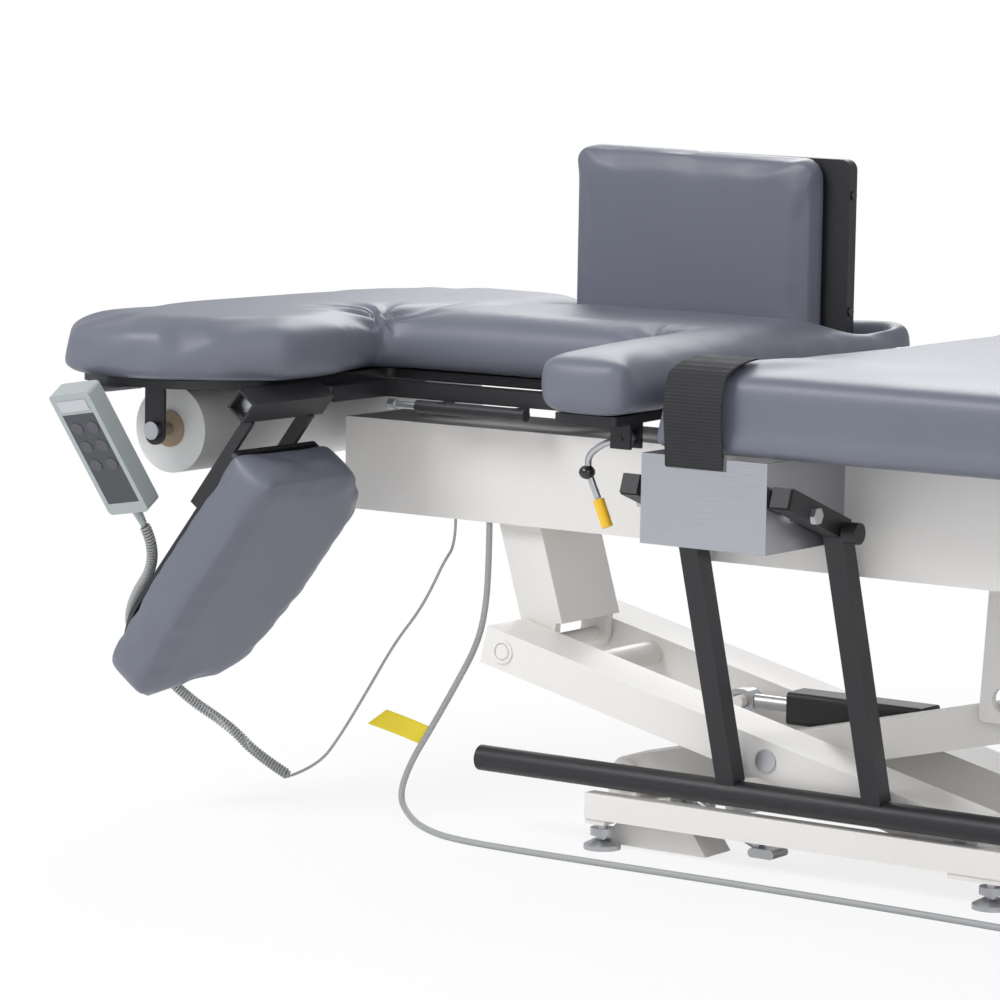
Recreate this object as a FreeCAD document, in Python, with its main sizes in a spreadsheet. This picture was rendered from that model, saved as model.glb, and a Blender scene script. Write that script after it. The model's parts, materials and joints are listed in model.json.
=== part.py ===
import FreeCAD, Part
import Sketcher
import math
import os
from FreeCAD import Placement, Rotation, Vector

# Bariatric examination table with a drop leaf, a swing-up side rail and a scissor lift.
# Frame: millimetres, +Z up, head end towards -X, side rail towards -Y.
# The origin lies on the floor under the lift's centre pivot.

doc = FreeCAD.newDocument("bariatric_table")
sheet = doc.addObject("Spreadsheet::Sheet", "Sizes")

SIZES = {
    "seat_start": -19, "seat_length": 1199, "seat_width": 700, "seat_base": 458, "seat_thick": 87,
    "seat_end_round": 42, "seat_corner": 60,
    "head_base": 489, "head_thick": 60, "board_thick": 10,
    "leaf_thick": 58, "leaf_drop": 127, "leaf_axis_x": -534.5, "leaf_axis_z": 466.7,
    "beam_start": -40, "beam_stop": 1130, "beam_half": 200, "beam_width": 40, "beam_top": 457.7,
    "beam_low": 332, "neck_start": -600, "neck_half": 72, "neck_top": 432, "neck_low": 328, "wall": 3,
    "rail_low": 462, "rail_high": 17, "rail_in": 80, "rail_out": 105, "rail_start": -625, "rail_stop": -29.3,
    "centre_high": 116.3, "arm_upper": 348, "arm_lower": 238.6, "arm_tilt": 13.4, "arm_high": 42,
    "outer_in": 60, "outer_out": 130, "inner_near": -40, "inner_far": 8, "arm_tail": 26,
    "pin_radius": 8, "running_fit": 0.05, "roller_radius": 13,
    "drive_reach": 130, "drive_high": 36, "drive_near": 13, "drive_far": 55,
    "leg_wide": 55, "leg_half": 57, "leg_lean": 16.7, "cheek_in": 46, "cheek_out": 54,
    "cheek_start": 208, "cheek_stop": 366,
    "base_start": -213, "base_stop": 300, "base_out": 152, "base_in": 134, "base_low": 32, "base_top": 60,
    "base_plate_low": 26, "base_plate_high": 7,
    "box_start": -20, "box_width": 147, "box_low": 366, "box_high": 91, "box_front": "=-seat_width / 2", "plate": 3,
    "post_side": 22, "post_one": -44, "post_two": 132, "swing_y": -305, "swing_z": 404,
    "grip_radius": 14, "grip_start": -353, "grip_length": 790, "grip_y": -147, "grip_z": 81,
    "pad_start": -488, "pad_width": 326, "pad_front": 205, "pad_low": 497, "pad_top": 738,
    "roll_x": -696, "roll_z": 425, "roll_radius": 49, "roll_core": 20, "roll_half": 270,
    "hinge_x": -24.5, "hinge_z": 526, "hand_wide": 56, "hand_long": 157, "hand_deep": 24,
    "frame_x": 181, "frame_y": -40, "lead_radius": 3.5, "thin_radius": 1.6, "curl_radius": 6.5,
}
row = 1
for name, value in SIZES.items():
    sheet.set("A%d" % row, name)
    sheet.set("B%d" % row, str(value))
    sheet.setAlias("B%d" % row, name)
    row += 1
doc.recompute()


def size(name):
    """Value of one cell of the sheet."""
    return float(getattr(sheet, name))


def bind(obj, prop, formula):
    """Bind a property to sheet cells; a cell's name in the formula is written with a leading #."""
    obj.setExpression(prop, str(formula).replace("#", "Sizes."))


def place(obj, x, y, z):
    for axis, formula in zip("xyz", (x, y, z)):
        bind(obj, ".Placement.Base." + axis, formula)


def box(name, length, width, height, x, y, z):
    obj = doc.addObject("Part::Box", name)
    bind(obj, "Length", length)
    bind(obj, "Width", width)
    bind(obj, "Height", height)
    place(obj, x, y, z)
    return obj


TURN = {"x": Rotation(Vector(0, 1, 0), 90), "y": Rotation(Vector(1, 0, 0), -90), "z": Rotation()}


def rod(name, radius, length, x, y, z, axis="z"):
    """Cylinder that grows from its place along the given axis."""
    obj = doc.addObject("Part::Cylinder", name)
    bind(obj, "Radius", radius)
    bind(obj, "Height", length)
    obj.Placement = Placement(Vector(0, 0, 0), TURN[axis])
    place(obj, x, y, z)
    return obj


def fuse(name, pieces):
    obj = doc.addObject("Part::MultiFuse", name)
    obj.Shapes = pieces
    obj.Refine = True
    return obj


def cut(name, base, tools):
    obj = doc.addObject("Part::Cut", name)
    obj.Base = base
    obj.Tool = tools[0] if len(tools) == 1 else fuse(name + "_tools", tools)
    return obj


nodes = []


def keep(name, obj):
    """Name a finished sub-part; a bare shape becomes a feature of its own."""
    if isinstance(obj, list):
        obj = Part.makeCompound(obj)
    if isinstance(obj, Part.Shape):
        shape = obj
        obj = doc.addObject("Part::Feature", name)
        obj.Shape = shape
    obj.Label = name
    nodes.append(obj)
    return obj


def rounded(points):
    """Lines and tangent arcs of a closed outline; a point is (x, y) or (x, y, corner radius)."""
    count = len(points)
    ends = []
    for i, point in enumerate(points):
        here = Vector(point[0], point[1], 0)
        radius = point[2] if len(point) > 2 else 0
        back = (Vector(points[i - 1][0], points[i - 1][1], 0) - here).normalize()
        ahead = (Vector(points[(i + 1) % count][0], points[(i + 1) % count][1], 0) - here).normalize()
        if radius <= 0:
            ends.append((here, here, None))
            continue
        half = back.getAngle(ahead) / 2
        run = radius / math.tan(half)
        centre = here + (back + ahead).normalize() * (radius / math.sin(half))
        middle = centre + (here - centre).normalize() * radius
        ends.append((here + back * run, here + ahead * run, middle))
    curves = []
    for i, (start, stop, middle) in enumerate(ends):
        if middle is not None:
            curves.append(Part.Arc(start, middle, stop))
        following = ends[(i + 1) % count][0]
        if (following - stop).Length > 1e-4:
            curves.append(Part.LineSegment(stop, following))
    return curves


def slab(points, low, high, plane="XY"):
    """Solid of a rounded outline between two levels; plane XZ stands on edge and spans y."""
    face = Part.Face(Part.Wire([c.toShape() for c in rounded(points)]))
    solid = face.extrude(Vector(0, 0, high - low))
    solid.translate(Vector(0, 0, low))
    if plane == "XZ":
        solid.translate(Vector(0, 0, -low - high))
        solid.rotate(Vector(0, 0, 0), Vector(1, 0, 0), 90)
    return solid


def plate(name, points, thick, plane="XY", lift="0"):
    """PartDesign plate: an outline on the body's own plane, padded. On XZ it grows towards -Y."""
    body = doc.addObject("PartDesign::Body", name)
    sketch = body.newObject("Sketcher::SketchObject", name + "_outline")
    role = plane + "_Plane"
    origin = [o for o in body.Origin.OriginFeatures if o.Role == role][0]
    sketch.AttachmentSupport = [(origin, "")]
    sketch.MapMode = "FlatFace"
    for curve in rounded(points):
        sketch.addGeometry(curve, False)
    pad = body.newObject("PartDesign::Pad", name + "_pad")
    pad.Profile = sketch
    bind(pad, "Length", thick)
    bind(body, ".Placement.Base." + ("z" if plane == "XY" else "y"), lift)
    return body


def block(x0, x1, y0, y1, z0, z1):
    return Part.makeBox(x1 - x0, y1 - y0, z1 - z0, Vector(x0, y0, z0))


def disc(centre, radius, y0, y1):
    """Round solid along Y."""
    return Part.makeCylinder(radius, y1 - y0, Vector(centre.x, y0, centre.z), Vector(0, 1, 0))


def join(pieces):
    return pieces[0].fuse(pieces[1:]).removeSplitter()


def both(shape):
    """The shape and its mirror image across the table's middle plane."""
    return [shape, shape.mirror(Vector(0, 0, 0), Vector(0, 1, 0))]


def tube_along(points, radius):
    """Round cord through the points: straight runs joined by tangent arcs."""
    points = [Vector(*p) for p in points]
    edges = []
    here = points[0]
    for i in range(1, len(points) - 1):
        back = points[i - 1] - points[i]
        ahead = points[i + 1] - points[i]
        turn = math.pi - back.getAngle(ahead)
        bend = 0.45 * min(back.Length, ahead.Length) / math.tan(turn / 2)
        run = bend * math.tan(turn / 2)
        back.normalize()
        ahead.normalize()
        start = points[i] + back * run
        stop = points[i] + ahead * run
        centre = points[i] + (back + ahead).normalize() * (bend / math.cos(turn / 2))
        middle = centre + (points[i] - centre).normalize() * bend
        edges.append(Part.LineSegment(here, start).toShape())
        edges.append(Part.Arc(start, middle, stop).toShape())
        here = stop
    edges.append(Part.LineSegment(here, points[-1]).toShape())
    path = Part.Wire(edges)
    tangent = (points[1] - points[0]).normalize()
    ring = Part.Wire([Part.Circle(points[0], tangent, radius).toShape()])
    solid = path.makePipeShell([ring], True, True)
    expected = math.pi * radius ** 2 * path.Length
    print("cord length %.0f mm, volume ratio %.3f" % (path.Length, solid.Volume / expected))
    return solid


# Lift geometry at rest, worked out from the arms' lengths and their tilt.
TILT = math.radians(size("arm_tilt"))
ALONG = Vector(math.cos(TILT), 0, math.sin(TILT))
CENTRE = Vector(0, 0, size("centre_high"))
LOW_PIVOT = CENTRE - ALONG * size("arm_lower")
SLIDER = CENTRE + ALONG * size("arm_upper")
HIGH_PIVOT = Vector(-SLIDER.x, 0, SLIDER.z)
LOW_ROLLER = Vector(-LOW_PIVOT.x, 0, LOW_PIVOT.z)
DRIVE_REAR = CENTRE + ALONG * size("drive_reach")
DRIVE_FRONT = Vector(-DRIVE_REAR.x, 0, DRIVE_REAR.z)
PIN = size("pin_radius")
BORE = PIN + size("running_fit")
ROLLER = size("roller_radius")
WALL = size("wall")

# Base: two side tubes, low cross plates, lugs for the inner arm and tracks for the lower rollers.
x0, x1 = size("base_start"), size("base_stop")
y_in, y_out = size("base_in"), size("base_out")
low, top = size("base_low"), size("base_top")
plate_low = size("base_plate_low")
plate_top = plate_low + size("base_plate_high")
side = block(x0, x1, -y_out, -y_in, low, top)
side = side.cut(block(x0 + 2, x1 + 1, -y_out + 2, -y_in - 2, low + 2, top - 2))
pieces = both(side)
pieces.append(block(x0, x0 + 24, -y_out + 2, y_out - 2, plate_low, plate_top))
pieces.append(block(LOW_PIVOT.x - 22, x0 + 12, -52, 24, plate_low, plate_top))
pieces.append(block(x1 - 70, x1 - 2, -y_out + 2, y_out - 2, plate_low, plate_top))
pieces.append(block(x0 + 10, x1 - 60, y_in - 20, y_in + 4, plate_low, plate_top))
pieces.append(block(x0 + 10, x1 - 60, 30, 58, plate_low, plate_top))
for y0 in (size("inner_near") - 9, size("inner_far") + 1):
    lug = slab([(LOW_PIVOT.x - 18, plate_top - 1), (LOW_PIVOT.x + 18, plate_top - 1),
                (LOW_PIVOT.x + 18, LOW_PIVOT.z + 17, 17), (LOW_PIVOT.x - 18, LOW_PIVOT.z + 17, 17)],
               y0, y0 + 8, "XZ")
    pieces.append(lug.cut(disc(LOW_PIVOT, PIN, y0 - 1, y0 + 9)))
track_top = LOW_ROLLER.z - ROLLER
for y0 in (-58, 44):
    pieces.append(block(150, 262, y0, y0 + 14, plate_top - 1, track_top))
pieces.append(block(150, x1 - 60, -58, -44, plate_low, plate_top))
keep("base_frame", join(pieces))

foot_profile = [(0, 0), (20, 0), (20, 5), (9, 11), (6, 11), (6, 15), (13, 15), (13, 23),
                (6, 23), (6, 34), (0, 34)]
foot_face = Part.Face(Part.makePolygon([Vector(r, 0, z) for r, z in foot_profile + foot_profile[:1]]))
foot = foot_face.revolve(Vector(0, 0, 0), Vector(0, 0, 1), 360)
foot = foot.cut(block(-30, 30, -30, 30, plate_low, 40))
feet = []
for x in (-195, 278):
    for y in (-143, 143):
        copy = foot.copy()
        copy.translate(Vector(x, y, 0))
        feet.append(copy)
keep("levelling_feet", feet)
low_pin = join([disc(LOW_PIVOT, PIN, -50, 18), disc(LOW_PIVOT, 12, -57, -49.3),
                disc(LOW_PIVOT, 12, 17.3, 24)])
keep("lower_pivot_pin", low_pin)

skirt = slab([(-214, 2), (-77, 2), (-110, 48), (-168, 48)], -122, -72, "XZ")
skirt = skirt.cut(block(-260, x0 + 24.3, -200, 0, plate_low - 0.3, plate_top + 0.3))
skirt = skirt.cut(slab([(-208, 0), (-83, 0), (-112, 44), (-166, 44)], -118, -76, "XZ"))
keep("skirt_housing", join([skirt, block(-188.5, -112, -80, -72, plate_low, 44)]).common(
    slab([(-214, 2), (-77, 2), (-110, 48), (-168, 48)], -128, -72, "XZ")))
PEDAL = Vector(-108, 0, 56)
arm = Part.makeCylinder(7, 88, Vector(PEDAL.x + 6, -99, PEDAL.z - 2.6), Vector(0.915, 0, -0.403))
tread = slab([(-30, 8, 5), (2, 8, 5), (2, 18, 5), (-30, 18, 5)], -114, -84, "XZ")
pedal = join([arm, tread, disc(PEDAL, 7.4, -112, -86)])
keep("foot_pedal", pedal.cut(disc(PEDAL, 4.05, -130, -70)))
ears = []
for y0, y1 in ((-121, -113), (-85, -77)):
    ears.append(slab([(-124, 48), (-94, 48), (-94, 68, 12), (-124, 68, 12)], y0, y1, "XZ"))
keep("pedal_clevis", join(ears + [disc(PEDAL, 4, -124, -74)]))

# Scissor arms: one inner arm between two outer arms, with through pins.


def arm_bar(start, stop, tail, y0, y1):
    """Rectangular arm: square past its start by the tail, or round there when the tail is zero."""
    along = stop - start
    half = size("arm_high") / 2
    bar = block(-tail, along.Length, y0, y1, -half, half)
    ends = [Part.makeCylinder(half, y1 - y0, Vector(along.Length, y0, 0), Vector(0, 1, 0))]
    if tail == 0:
        ends.append(Part.makeCylinder(half, y1 - y0, Vector(0, y0, 0), Vector(0, 1, 0)))
    bar = join([bar] + ends)
    bar.rotate(Vector(0, 0, 0), Vector(0, 1, 0), -math.degrees(math.atan2(along.z, along.x)))
    bar.translate(start)
    return bar


inner_near, inner_far = size("inner_near"), size("inner_far")
inner = arm_bar(LOW_PIVOT, SLIDER, 0, inner_near, inner_far)
for at, radius in ((CENTRE, PIN), (LOW_PIVOT, BORE), (SLIDER, BORE)):
    inner = inner.cut(disc(at, radius, inner_near - 1, inner_far + 1))
rear_pin = disc(DRIVE_REAR, 7, inner_far - 10, size("drive_far"))
keep("inner_arm", join([inner, rear_pin]))
outer_in, outer_out = size("outer_in"), size("outer_out")
bars = both(arm_bar(HIGH_PIVOT, LOW_ROLLER, size("arm_tail"), outer_in, outer_out))
outer = []
for bar in bars:
    for at, radius in ((CENTRE, BORE), (HIGH_PIVOT, PIN), (LOW_ROLLER, BORE)):
        bar = bar.cut(disc(at, radius, -200, 200))
    outer.append(bar)
tube_at = HIGH_PIVOT + (CENTRE - HIGH_PIVOT).normalize() * 72
front_pin = disc(DRIVE_FRONT, 7, size("drive_near"), outer_in + 10)
outer += [disc(tube_at, 14, -outer_in - 1, outer_in + 1), front_pin]
keep("outer_arms", join(outer))
cap = [disc(CENTRE, PIN, -outer_out - 2, outer_out + 2), disc(CENTRE, 12, -outer_out - 2.5, -outer_out - 0.3),
       disc(CENTRE, 12, outer_out + 0.3, outer_out + 2.5)]
keep("centre_pivot_shaft", join(cap))
rings = [disc(HIGH_PIVOT, PIN, -outer_out, outer_out)]
for y0, y1 in ((-outer_out - 2, -outer_out), (outer_out, outer_out + 2)):
    rings.append(disc(HIGH_PIVOT, 13, y0, y1).cut(disc(HIGH_PIVOT, 10, y0 - 1, y1 + 1)))
    rings.append(disc(HIGH_PIVOT, 8, y0, y1))
keep("upper_pivot_shaft", [rings[0].fuse([rings[2], rings[4]]), rings[1], rings[3]])
keep("lower_roller_shaft", join([disc(LOW_ROLLER, PIN, -outer_out + 2, outer_out - 2),
                                 disc(LOW_ROLLER, ROLLER - 0.3, -58, -44),
                                 disc(LOW_ROLLER, ROLLER - 0.3, 44, 58)]))
cheek_in, cheek_out = size("cheek_in"), size("cheek_out")
keep("slider_shaft", join([disc(SLIDER, PIN, -cheek_out - 3, cheek_out + 3),
                           disc(SLIDER, ROLLER - 0.3, -cheek_out, -cheek_in),
                           disc(SLIDER, ROLLER - 0.3, cheek_in, cheek_out)]))

# Linear actuator: its rear eye sits on the inner arm, its front eye on the far outer arm.
d0, d1, half = size("drive_near"), size("drive_far"), size("drive_high") / 2
case = block(DRIVE_REAR.x - 190, DRIVE_REAR.x - 24, d0, d1, DRIVE_REAR.z - half, DRIVE_REAR.z + half)
case = case.makeFillet(6, [e for e in case.Edges if abs(e.tangentAt(e.FirstParameter).x) > 0.99])
case = join([case, block(DRIVE_REAR.x - 30, DRIVE_REAR.x, d0 + 6, d1 - 2, DRIVE_REAR.z - 13, DRIVE_REAR.z + 13),
             disc(DRIVE_REAR, 13, d0 + 6, d1 - 2)])
case = case.cut(disc(DRIVE_REAR, 7.05, 0, 70))
middle_y = (d0 + d1) / 2
case = case.cut(Part.makeCylinder(8.3, 146, Vector(DRIVE_REAR.x - 191, middle_y, DRIVE_REAR.z), Vector(1, 0, 0)))
keep("actuator_housing", case)
eye = slab([(DRIVE_FRONT.x - 19, DRIVE_FRONT.z - 13, 12), (DRIVE_FRONT.x + 14, DRIVE_FRONT.z - 13, 12),
            (DRIVE_FRONT.x + 14, DRIVE_FRONT.z + 13, 12), (DRIVE_FRONT.x - 19, DRIVE_FRONT.z + 13, 12)],
           middle_y - 10, middle_y + 10, "XZ")
slot = slab([(DRIVE_FRONT.x - 12.5, DRIVE_FRONT.z - 7.2, 7.1), (DRIVE_FRONT.x + 8, DRIVE_FRONT.z - 7.2, 7.1),
             (DRIVE_FRONT.x + 8, DRIVE_FRONT.z + 7.2, 7.1), (DRIVE_FRONT.x - 12.5, DRIVE_FRONT.z + 7.2, 7.1)],
            middle_y - 12, middle_y + 12, "XZ")
piston = Part.makeCylinder(8, 150, Vector(DRIVE_FRONT.x + 12, middle_y, DRIVE_FRONT.z), Vector(1, 0, 0))
keep("actuator_rod", join([eye, piston]).cut(slot))

# Top frame: two seat beams, a narrower neck under the head section, cross tubes and two legs.
beams = []
for label, far_face in (("near", "-#beam_half+#beam_width"), ("far", "#beam_half")):
    b0, b1, z0, z1 = size("beam_start"), size("beam_stop"), size("beam_low"), size("beam_top")
    beam = plate("beam_" + label, [(b0, z0), (b1, z0), (b1, z1), (b0, z1)], "#beam_width", "XZ", far_face)
    inside = [(b0 - 5, z0 + WALL), (b1 + 5, z0 + WALL), (b1 + 5, z1 - WALL), (b0 - 5, z1 - WALL)]
    bore = plate("beam_bore_" + label, inside, "#beam_width-2*#wall", "XZ", "%s-#wall" % far_face)
    beams.append(cut("seat_beam_" + label, beam, [bore]))
doc.recompute()
keep("seat_beams", [beam.Shape for beam in beams])
neck_outer = box("neck_outer", "#beam_start-#neck_start", "2*#neck_half", "#neck_top-#neck_low",
                 "#neck_start", "-#neck_half", "#neck_low")
neck_inner = box("neck_inner", "#beam_start-#neck_start+10", "2*#neck_half-2*#wall",
                 "#neck_top-#neck_low-2*#wall", "#neck_start-5", "-#neck_half+#wall", "#neck_low+#wall")
keep("neck_beam", cut("neck_beam", neck_outer, [neck_inner]))
y = size("beam_half") - size("beam_width")
cross = [block(-40, 0, -y, y, 333, 436), block(cheek_in + 162, 366, -y, y, 346, 386),
         block(700, 740, -y, y, 340, 440), block(1080, 1120, -y, y, 340, 440)]
keep("cross_members", cross)
lean = math.tan(math.radians(size("leg_lean")))
leg_top, leg_low = 328, 207
foot_x = HIGH_PIVOT.x + 5
wide = size("leg_wide") / 2


def leg_outline(inset, top_level, low_level):
    """Side view of the leaning leg between two levels, moved in by the wall thickness."""
    at_top = foot_x - (top_level - leg_low) * lean
    at_low = foot_x - (low_level - leg_low) * lean
    return [(at_low - wide + inset, low_level), (at_low + wide - inset, low_level),
            (at_top + wide - inset, top_level), (at_top - wide + inset, top_level)]


leg_half = size("leg_half")
leg = slab(leg_outline(0, leg_top, 222), -leg_half, leg_half, "XZ")
leg = leg.cut(slab(leg_outline(WALL, leg_top - WALL, 220), -leg_half + WALL, leg_half - WALL, "XZ"))
lugs = []
for y0, y1 in ((-leg_half, -leg_half + 10), (leg_half - 10, leg_half)):
    lug = slab([(HIGH_PIVOT.x - 16, HIGH_PIVOT.z - 15, 14), (HIGH_PIVOT.x + 16, HIGH_PIVOT.z - 15, 14),
                (foot_x + 15, 226), (foot_x - 22, 226)], y0, y1, "XZ")
    lugs.append(lug.cut(disc(HIGH_PIVOT, BORE, -200, 200)))
head_leg = join([leg] + lugs)
reach = ROLLER + 0.1
cheeks = []
for y0 in (-cheek_out, cheek_in):
    cheek = slab([(size("cheek_start"), 172, 8), (size("cheek_stop"), 172, 8), (size("cheek_stop"), 346),
                  (size("cheek_start") + 10, 346)], y0, y0 + cheek_out - cheek_in, "XZ")
    g0, g1, g2, g3 = SLIDER.x - 102 - reach, SLIDER.x + 2 + reach, SLIDER.z - reach, SLIDER.z + reach
    turn = reach - 0.1
    gap = slab([(g0, g2, turn), (g1, g2, turn), (g1, g3, turn), (g0, g3, turn)], y0 - 1, y0 + 20, "XZ")
    cheeks.append(cheek.cut(gap))
slot_leg = join(cheeks + [block(280, 286, -cheek_in - 2, cheek_in + 2, 250, 346)])
keep("frame_legs", [head_leg, slot_leg])

# Aluminium box bracket on the near beam, with the side rail's pivot bolts.
front = size("box_front")
left, right = size("box_start"), size("box_start") + size("box_width")
box_low, box_top = size("box_low"), size("box_low") + size("box_high")
SWING = Vector(0, size("swing_y"), size("swing_z"))
outer_box = box("bracket_outer", "#box_width", "150", "#box_high", "#box_start", "#box_front", "#box_low")
inner_box = box("bracket_inner", "#box_width-2*#plate", "160", "#box_high+2", "#box_start+#plate",
                "#box_front+#plate", "#box_low-1")
notch = box("bracket_notch", "71", "#plate+2", "14", "9", "#box_front-1", "#box_low+#box_high-12")
bracket = cut("bracket_shell", outer_box, [inner_box, notch])
holes = rod("bracket_holes", "6.0", "#box_width+2", "#box_start-1", "#swing_y", "#swing_z", "x")
keep("box_bracket", cut("bracket_bored", bracket, [holes]))


def bolt_x(x_from, x_to, head_at, head_out):
    """Swing bolt along X with a six-sided head."""
    pin = Part.makeCylinder(6, x_to - x_from, Vector(x_from, SWING.y, SWING.z), Vector(1, 0, 0))
    hexagon = [Vector(head_at, SWING.y + 9 * math.cos(math.radians(a)), SWING.z + 9 * math.sin(math.radians(a)))
               for a in range(0, 361, 60)]
    head = Part.Face(Part.makePolygon(hexagon)).extrude(Vector(head_out, 0, 0))
    return join([pin, head])


post_one, post_two, post = size("post_one"), size("post_two"), size("post_side")
spacer = Part.makeCylinder(10, post_two - right - 0.3, Vector(right, SWING.y, SWING.z), Vector(1, 0, 0))
bolt_one = bolt_x(post_one - 6, left + 8, post_one - 6.3, 6)
bolt_two = bolt_x(right - 8, post_two + post + 6, post_two + post + 0.3, 6).fuse(spacer)
keep("swing_bolts", [bolt_one, bolt_two])

# Side rail: leaning posts with short stubs, carrying a round tube.
OUTER_END = Vector(0, -341.5, 421.7)
INNER_END = Vector(0, -240, 385)
FOOT_END = Vector(0, -147, 95)


def square_bar(start, stop, x_from, x_to, depth, grow=0.0):
    """Square bar in a plane of constant X from start to stop, longer by grow at both ends."""
    along = (stop - start).normalize()
    across = Vector(0, -along.z, along.y) * (depth / 2)
    a, b = start - along * grow, stop + along * grow
    outline = [a + across, b + across, b - across, a - across, a + across]
    face = Part.Face(Part.makePolygon([Vector(x_from, p.y, p.z) for p in outline]))
    return face.extrude(Vector(x_to - x_from, 0, 0))


posts = []
for x_from in (post_one, post_two):
    stub = square_bar(OUTER_END, INNER_END, x_from, x_from + post, post, 6)
    upright = square_bar(INNER_END, FOOT_END, x_from, x_from + post, post, 4)
    whole = join([stub, upright])
    whole = whole.cut(Part.makeCylinder(6.05, 60, Vector(x_from - 20, SWING.y, SWING.z), Vector(1, 0, 0)))
    if x_from == post_two:
        whole = whole.cut(Part.makeCylinder(5.05, 30, Vector(x_from + 8, -246, 382), Vector(1, 0, 0)))
    grip_at = Vector(x_from - 20, size("grip_y"), size("grip_z"))
    whole = whole.cut(Part.makeCylinder(size("grip_radius"), 60, grip_at, Vector(1, 0, 0)))
    posts.append(whole)
keep("rail_tube", rod("rail_tube", "#grip_radius", "#grip_length", "#grip_start", "#grip_y", "#grip_z", "x"))
knob = join([Part.makeCylinder(5, 22, Vector(post_two + 10, -246, 382), Vector(1, 0, 0)),
             Part.makeCylinder(11, 16, Vector(post_two + post + 3, -246, 382), Vector(1, 0, 0))])
keep("lock_plunger", knob)
along_stub = (OUTER_END - INNER_END).normalize()
caps = []
for x_from in (post_one, post_two):
    caps.append(square_bar(OUTER_END + along_stub * 6, OUTER_END + along_stub * 10, x_from + 1, x_from + post - 1,
                           post - 2))
keep("rail_posts", posts + caps)

# Upholstery as plain closed solids.
seat_half = size("seat_width") / 2
seat_top = size("seat_base") + size("seat_thick")
s0, s1, end_round = size("seat_start"), size("seat_start") + size("seat_length"), size("seat_end_round")
seat = slab([(s0, -seat_half, 10), (s1, -seat_half, size("seat_corner")), (s1, seat_half, size("seat_corner")),
             (s0, seat_half, 10)], size("seat_base"), seat_top)
nose = Part.makeCylinder(end_round, 2 * seat_half + 4, Vector(s0 + end_round, -seat_half - 2, seat_top - end_round),
                         Vector(0, 1, 0))
corner = block(s0 - 1, s0 + end_round, -seat_half - 1, seat_half + 1, seat_top - end_round, seat_top + 1)
keep("seat_cushion", seat.cut(corner.cut(nose)))
strap = join([block(9, 77, -seat_half - 3, -seat_half - 0.3, 446, seat_top + 2),
              block(9, 77, -seat_half - 3, 60 - seat_half, seat_top + 0.3, seat_top + 2)])
keep("edge_strap", strap)

HEAD = [(-800, -330, 60), (-752, -388, 30), (-684, -400, 150), (-621, -386, 60), (-560, -345, 60), (-507, -290, 30),
        (-509, -205, 60), (-545, -78, 12), (-188, -75, 50), (-165, -200, 60), (-146, -350, 20), (-126, -374, 12),
        (-32, -372, 14), (-92, 330, 20), (-760, 330, 80), (-818, 200, 120), (-818, -200, 200)]
head_low, head_top = size("head_base"), size("head_base") + size("head_thick")


pocket = block(-500, -100, 196, 292, 400, 700)
cushion = slab(HEAD, head_low, head_top).cut(pocket)
keep("head_cushion", cushion)
board_low = head_low - size("board_thick")
BOARD = [(-770, -330, 20), (-700, -366, 20), (-620, -350, 20), (-549.5, -285, 20), (-549.5, -60, 10), (-168, -52, 10),
         (-134, -345, 15), (-55, -345, 10), (-112, 168, 5), (-720, 168, 40), (-780, 100, 40)]
keep("head_board", plate("head_board", BOARD, "#board_thick-0.3", "XY", "#head_base-#board_thick"))
rail_low, rail_top = size("rail_low"), size("rail_low") + size("rail_high")
rail_in, rail_out = size("rail_in"), size("rail_out")
r0, r1 = size("rail_start"), size("rail_stop")
frame = both(block(r0, r1, -rail_out, -rail_in, rail_low, rail_top))
for x in (r0, -330):
    frame.append(block(x, x + 30, -rail_in - 1, rail_in + 1, rail_low, rail_top))
frame.append(block(r1 - 30, r1, -200, 200, rail_low, rail_top))
frame.append(block(-549, -520, -201, -rail_out + 1, rail_low, rail_top))
frame.append(block(-512, -500, rail_out - 1, 284, rail_low, rail_top))
frame.append(block(-112, -100, rail_out - 1, 284, rail_low, rail_top))
frame.append(block(-512, -100, 266, 290, rail_low, rail_top))
back_frame = join(frame)
for x in (-400, -200):
    back_frame = back_frame.cut(Part.makeCylinder(6.05, 60, Vector(x, 278, 440)))
keep("back_frame", back_frame)

# Tilt hinge of the head section, in the gap between the two cushions.
HINGE = Vector(size("hinge_x"), 0, size("hinge_z"))
seat_leaves = []
back_leaves = []
for flip in (-1, 1):
    a, b = (160, 200) if flip > 0 else (-200, -160)
    seat_leaf = block(HINGE.x + 2.5, HINGE.x + 5.2, a, b, size("beam_top"), HINGE.z)
    for c0, c1 in ((a, a + 12), (b - 12, b)):
        seat_leaf = seat_leaf.fuse(disc(HINGE, 5.2, c0, c1))
    seat_leaf = seat_leaf.cut(block(HINGE.x - 6, HINGE.x + 1.5, a + 12, b - 12, 457, HINGE.z + 8))
    seat_leaf = seat_leaf.cut(disc(HINGE, 5.5, a + 12, b - 12)).cut(disc(HINGE, 2, a - 1, b + 1))
    seat_leaves.append(seat_leaf)
    back_leaf = join([block(HINGE.x - 4.8, HINGE.x - 2, a + 12.3, b - 12.3, rail_low + 2, HINGE.z),
                      disc(HINGE, 5, a + 12.3, b - 12.3)])
    back_leaf = back_leaf.cut(disc(HINGE, 2.05, a - 1, b + 1))
    back_leaves.append(back_leaf)
keep("seat_hinge_leaves", seat_leaves + [disc(HINGE, 2, -200, -160), disc(HINGE, 2, 160, 200)])
keep("back_hinge_leaves", back_leaves)

# Drop leaf, drawn raised in the notch and then swung down about its hinge.
AXIS = Vector(size("leaf_axis_x"), 0, size("leaf_axis_z"))


def dropped(shape):
    shape.rotate(AXIS, Vector(0, 1, 0), size("leaf_drop"))
    return shape


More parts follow.
